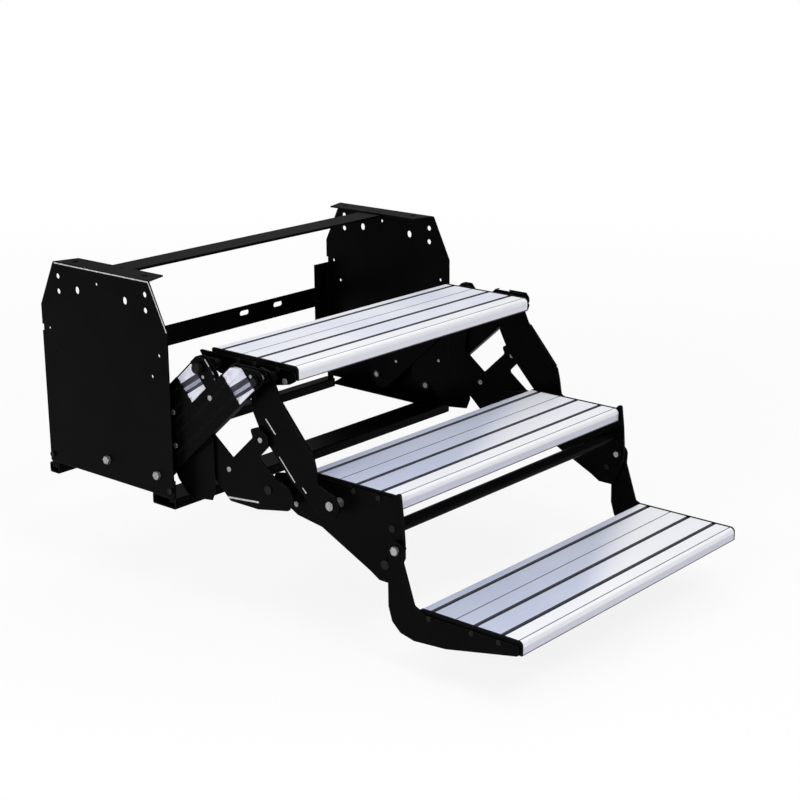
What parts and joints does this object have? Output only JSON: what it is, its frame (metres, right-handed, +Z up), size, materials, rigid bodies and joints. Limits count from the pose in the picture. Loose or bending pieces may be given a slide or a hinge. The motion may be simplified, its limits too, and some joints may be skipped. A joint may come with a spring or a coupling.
{
  "type": "camper entry step",
  "caption": "Folding camper entry step: side plates carry swinging arms and links that hold ribbed boards at rising heights; the lowest board flips over onto the one above.",
  "frame": {"origin": "centre of the four chassis bolt holes, in the face of the top flanges that bolts against the chassis", "axes": "+X across the vehicle to the right as seen from the steps' front looking in, +Y from the steps towards the vehicle, +Z up"},
  "size_m": [0.754, 1.0311, 0.513],
  "materials": {
    "black_steel": "satin black powder coat",
    "board_aluminium": "mill finish extrusion",
    "bar_aluminium": "mill finish ribbed extrusion",
    "cap_plastic": "moulded black",
    "zinc_steel": "zinc plated"
  },
  "bodies": {
    "housing": {"left_side_plate": "black_steel", "right_side_plate": "black_steel", "top_crossbar": "black_steel", "rear_crossmember": "black_steel", "rear_bottom_crossmember": "black_steel", "front_bottom_crossmember": "black_steel", "crossmember_screws": "zinc_steel", "arm_pivot_bolts": "zinc_steel", "arm_pivot_spacers": "zinc_steel", "arm_pivot_clips": "zinc_steel"},
    "front_arms": {"left_front_arm_channel": "black_steel", "right_front_arm_channel": "black_steel", "left_front_arm_cover": "black_steel", "right_front_arm_cover": "black_steel", "left_front_arm_bar": "bar_aluminium", "right_front_arm_bar": "bar_aluminium", "front_arm_eyes": "black_steel", "front_arm_bolts": "zinc_steel"},
    "rear_arms": {"left_rear_arm_channel": "black_steel", "right_rear_arm_channel": "black_steel", "left_rear_arm_cover": "black_steel", "right_rear_arm_cover": "black_steel", "left_rear_arm_bar": "bar_aluminium", "right_rear_arm_bar": "bar_aluminium", "rear_arm_eyes": "black_steel", "rear_arm_bolts": "zinc_steel"},
    "upper_step": {"upper_board": "board_aluminium", "upper_end_caps": "cap_plastic", "upper_board_screws": "zinc_steel", "left_upper_bracket": "black_steel", "right_upper_bracket": "black_steel", "upper_bracket_rivets": "zinc_steel", "upper_front_pins": "zinc_steel", "upper_rear_pins": "zinc_steel", "upper_spacers": "zinc_steel"},
    "front_links": {"left_front_link": "black_steel", "right_front_link": "black_steel"},
    "rear_links": {"left_rear_link": "black_steel", "right_rear_link": "black_steel", "rear_link_bolts": "zinc_steel"},
    "middle_step": {"middle_board": "board_aluminium", "middle_end_caps": "cap_plastic", "middle_board_screws": "zinc_steel", "left_middle_bracket": "black_steel", "right_middle_bracket": "black_steel", "middle_bracket_bolts": "zinc_steel", "front_link_pins": "zinc_steel", "rear_link_pins": "zinc_steel", "cross_tube": "black_steel", "cross_tube_screws": "zinc_steel", "lower_stop_pins": "zinc_steel", "lower_pivot_bolts": "zinc_steel", "lower_pivot_nuts": "zinc_steel", "lower_pivot_washers": "zinc_steel"},
    "lower_step": {"lower_board": "board_aluminium", "lower_end_caps": "cap_plastic", "lower_board_screws": "zinc_steel", "left_lower_arm": "black_steel", "right_lower_arm": "black_steel"}
  },
  "joints": [
    {"name": "front_arm_fold", "type": "hinge", "parent": "housing", "child": "front_arms", "pos_m": [0, -0.126, -0.338], "axis": [-1, 0, 0], "range_deg": [0, 50]},
    {"name": "rear_arm_fold", "type": "hinge", "parent": "housing", "child": "rear_arms", "pos_m": [0, 0.004, -0.338], "axis": [-1, 0, 0], "range_deg": [0, 50]},
    {"name": "upper_step_level", "type": "hinge", "parent": "front_arms", "child": "upper_step", "pos_m": [0, -0.35408, -0.134], "axis": [1, 0, 0], "range_deg": [0, 50]},
    {"name": "front_link_fold", "type": "hinge", "parent": "upper_step", "child": "front_links", "pos_m": [0, -0.35408, -0.134], "axis": [1, 0, 0], "range_deg": [0, 50]},
    {"name": "rear_link_fold", "type": "hinge", "parent": "upper_step", "child": "rear_links", "pos_m": [0, -0.22408, -0.134], "axis": [1, 0, 0], "range_deg": [0, 50]},
    {"name": "middle_step_level", "type": "hinge", "parent": "front_links", "child": "middle_step", "pos_m": [0, -0.49008, -0.32], "axis": [-1, 0, 0], "range_deg": [0, 50]},
    {"name": "lower_step_flip", "type": "hinge", "parent": "middle_step", "child": "lower_step", "pos_m": [0, -0.61208, -0.37], "axis": [-1, 0, 0], "range_deg": [0, 180]}
  ],
  "couplings": [
    {"joint": "rear_arm_fold", "follows": "front_arm_fold", "ratio": 1},
    {"joint": "upper_step_level", "follows": "front_arm_fold", "ratio": 1},
    {"joint": "front_link_fold", "follows": "front_arm_fold", "ratio": 1},
    {"joint": "rear_link_fold", "follows": "front_arm_fold", "ratio": 1},
    {"joint": "middle_step_level", "follows": "front_arm_fold", "ratio": 1}
  ]
}
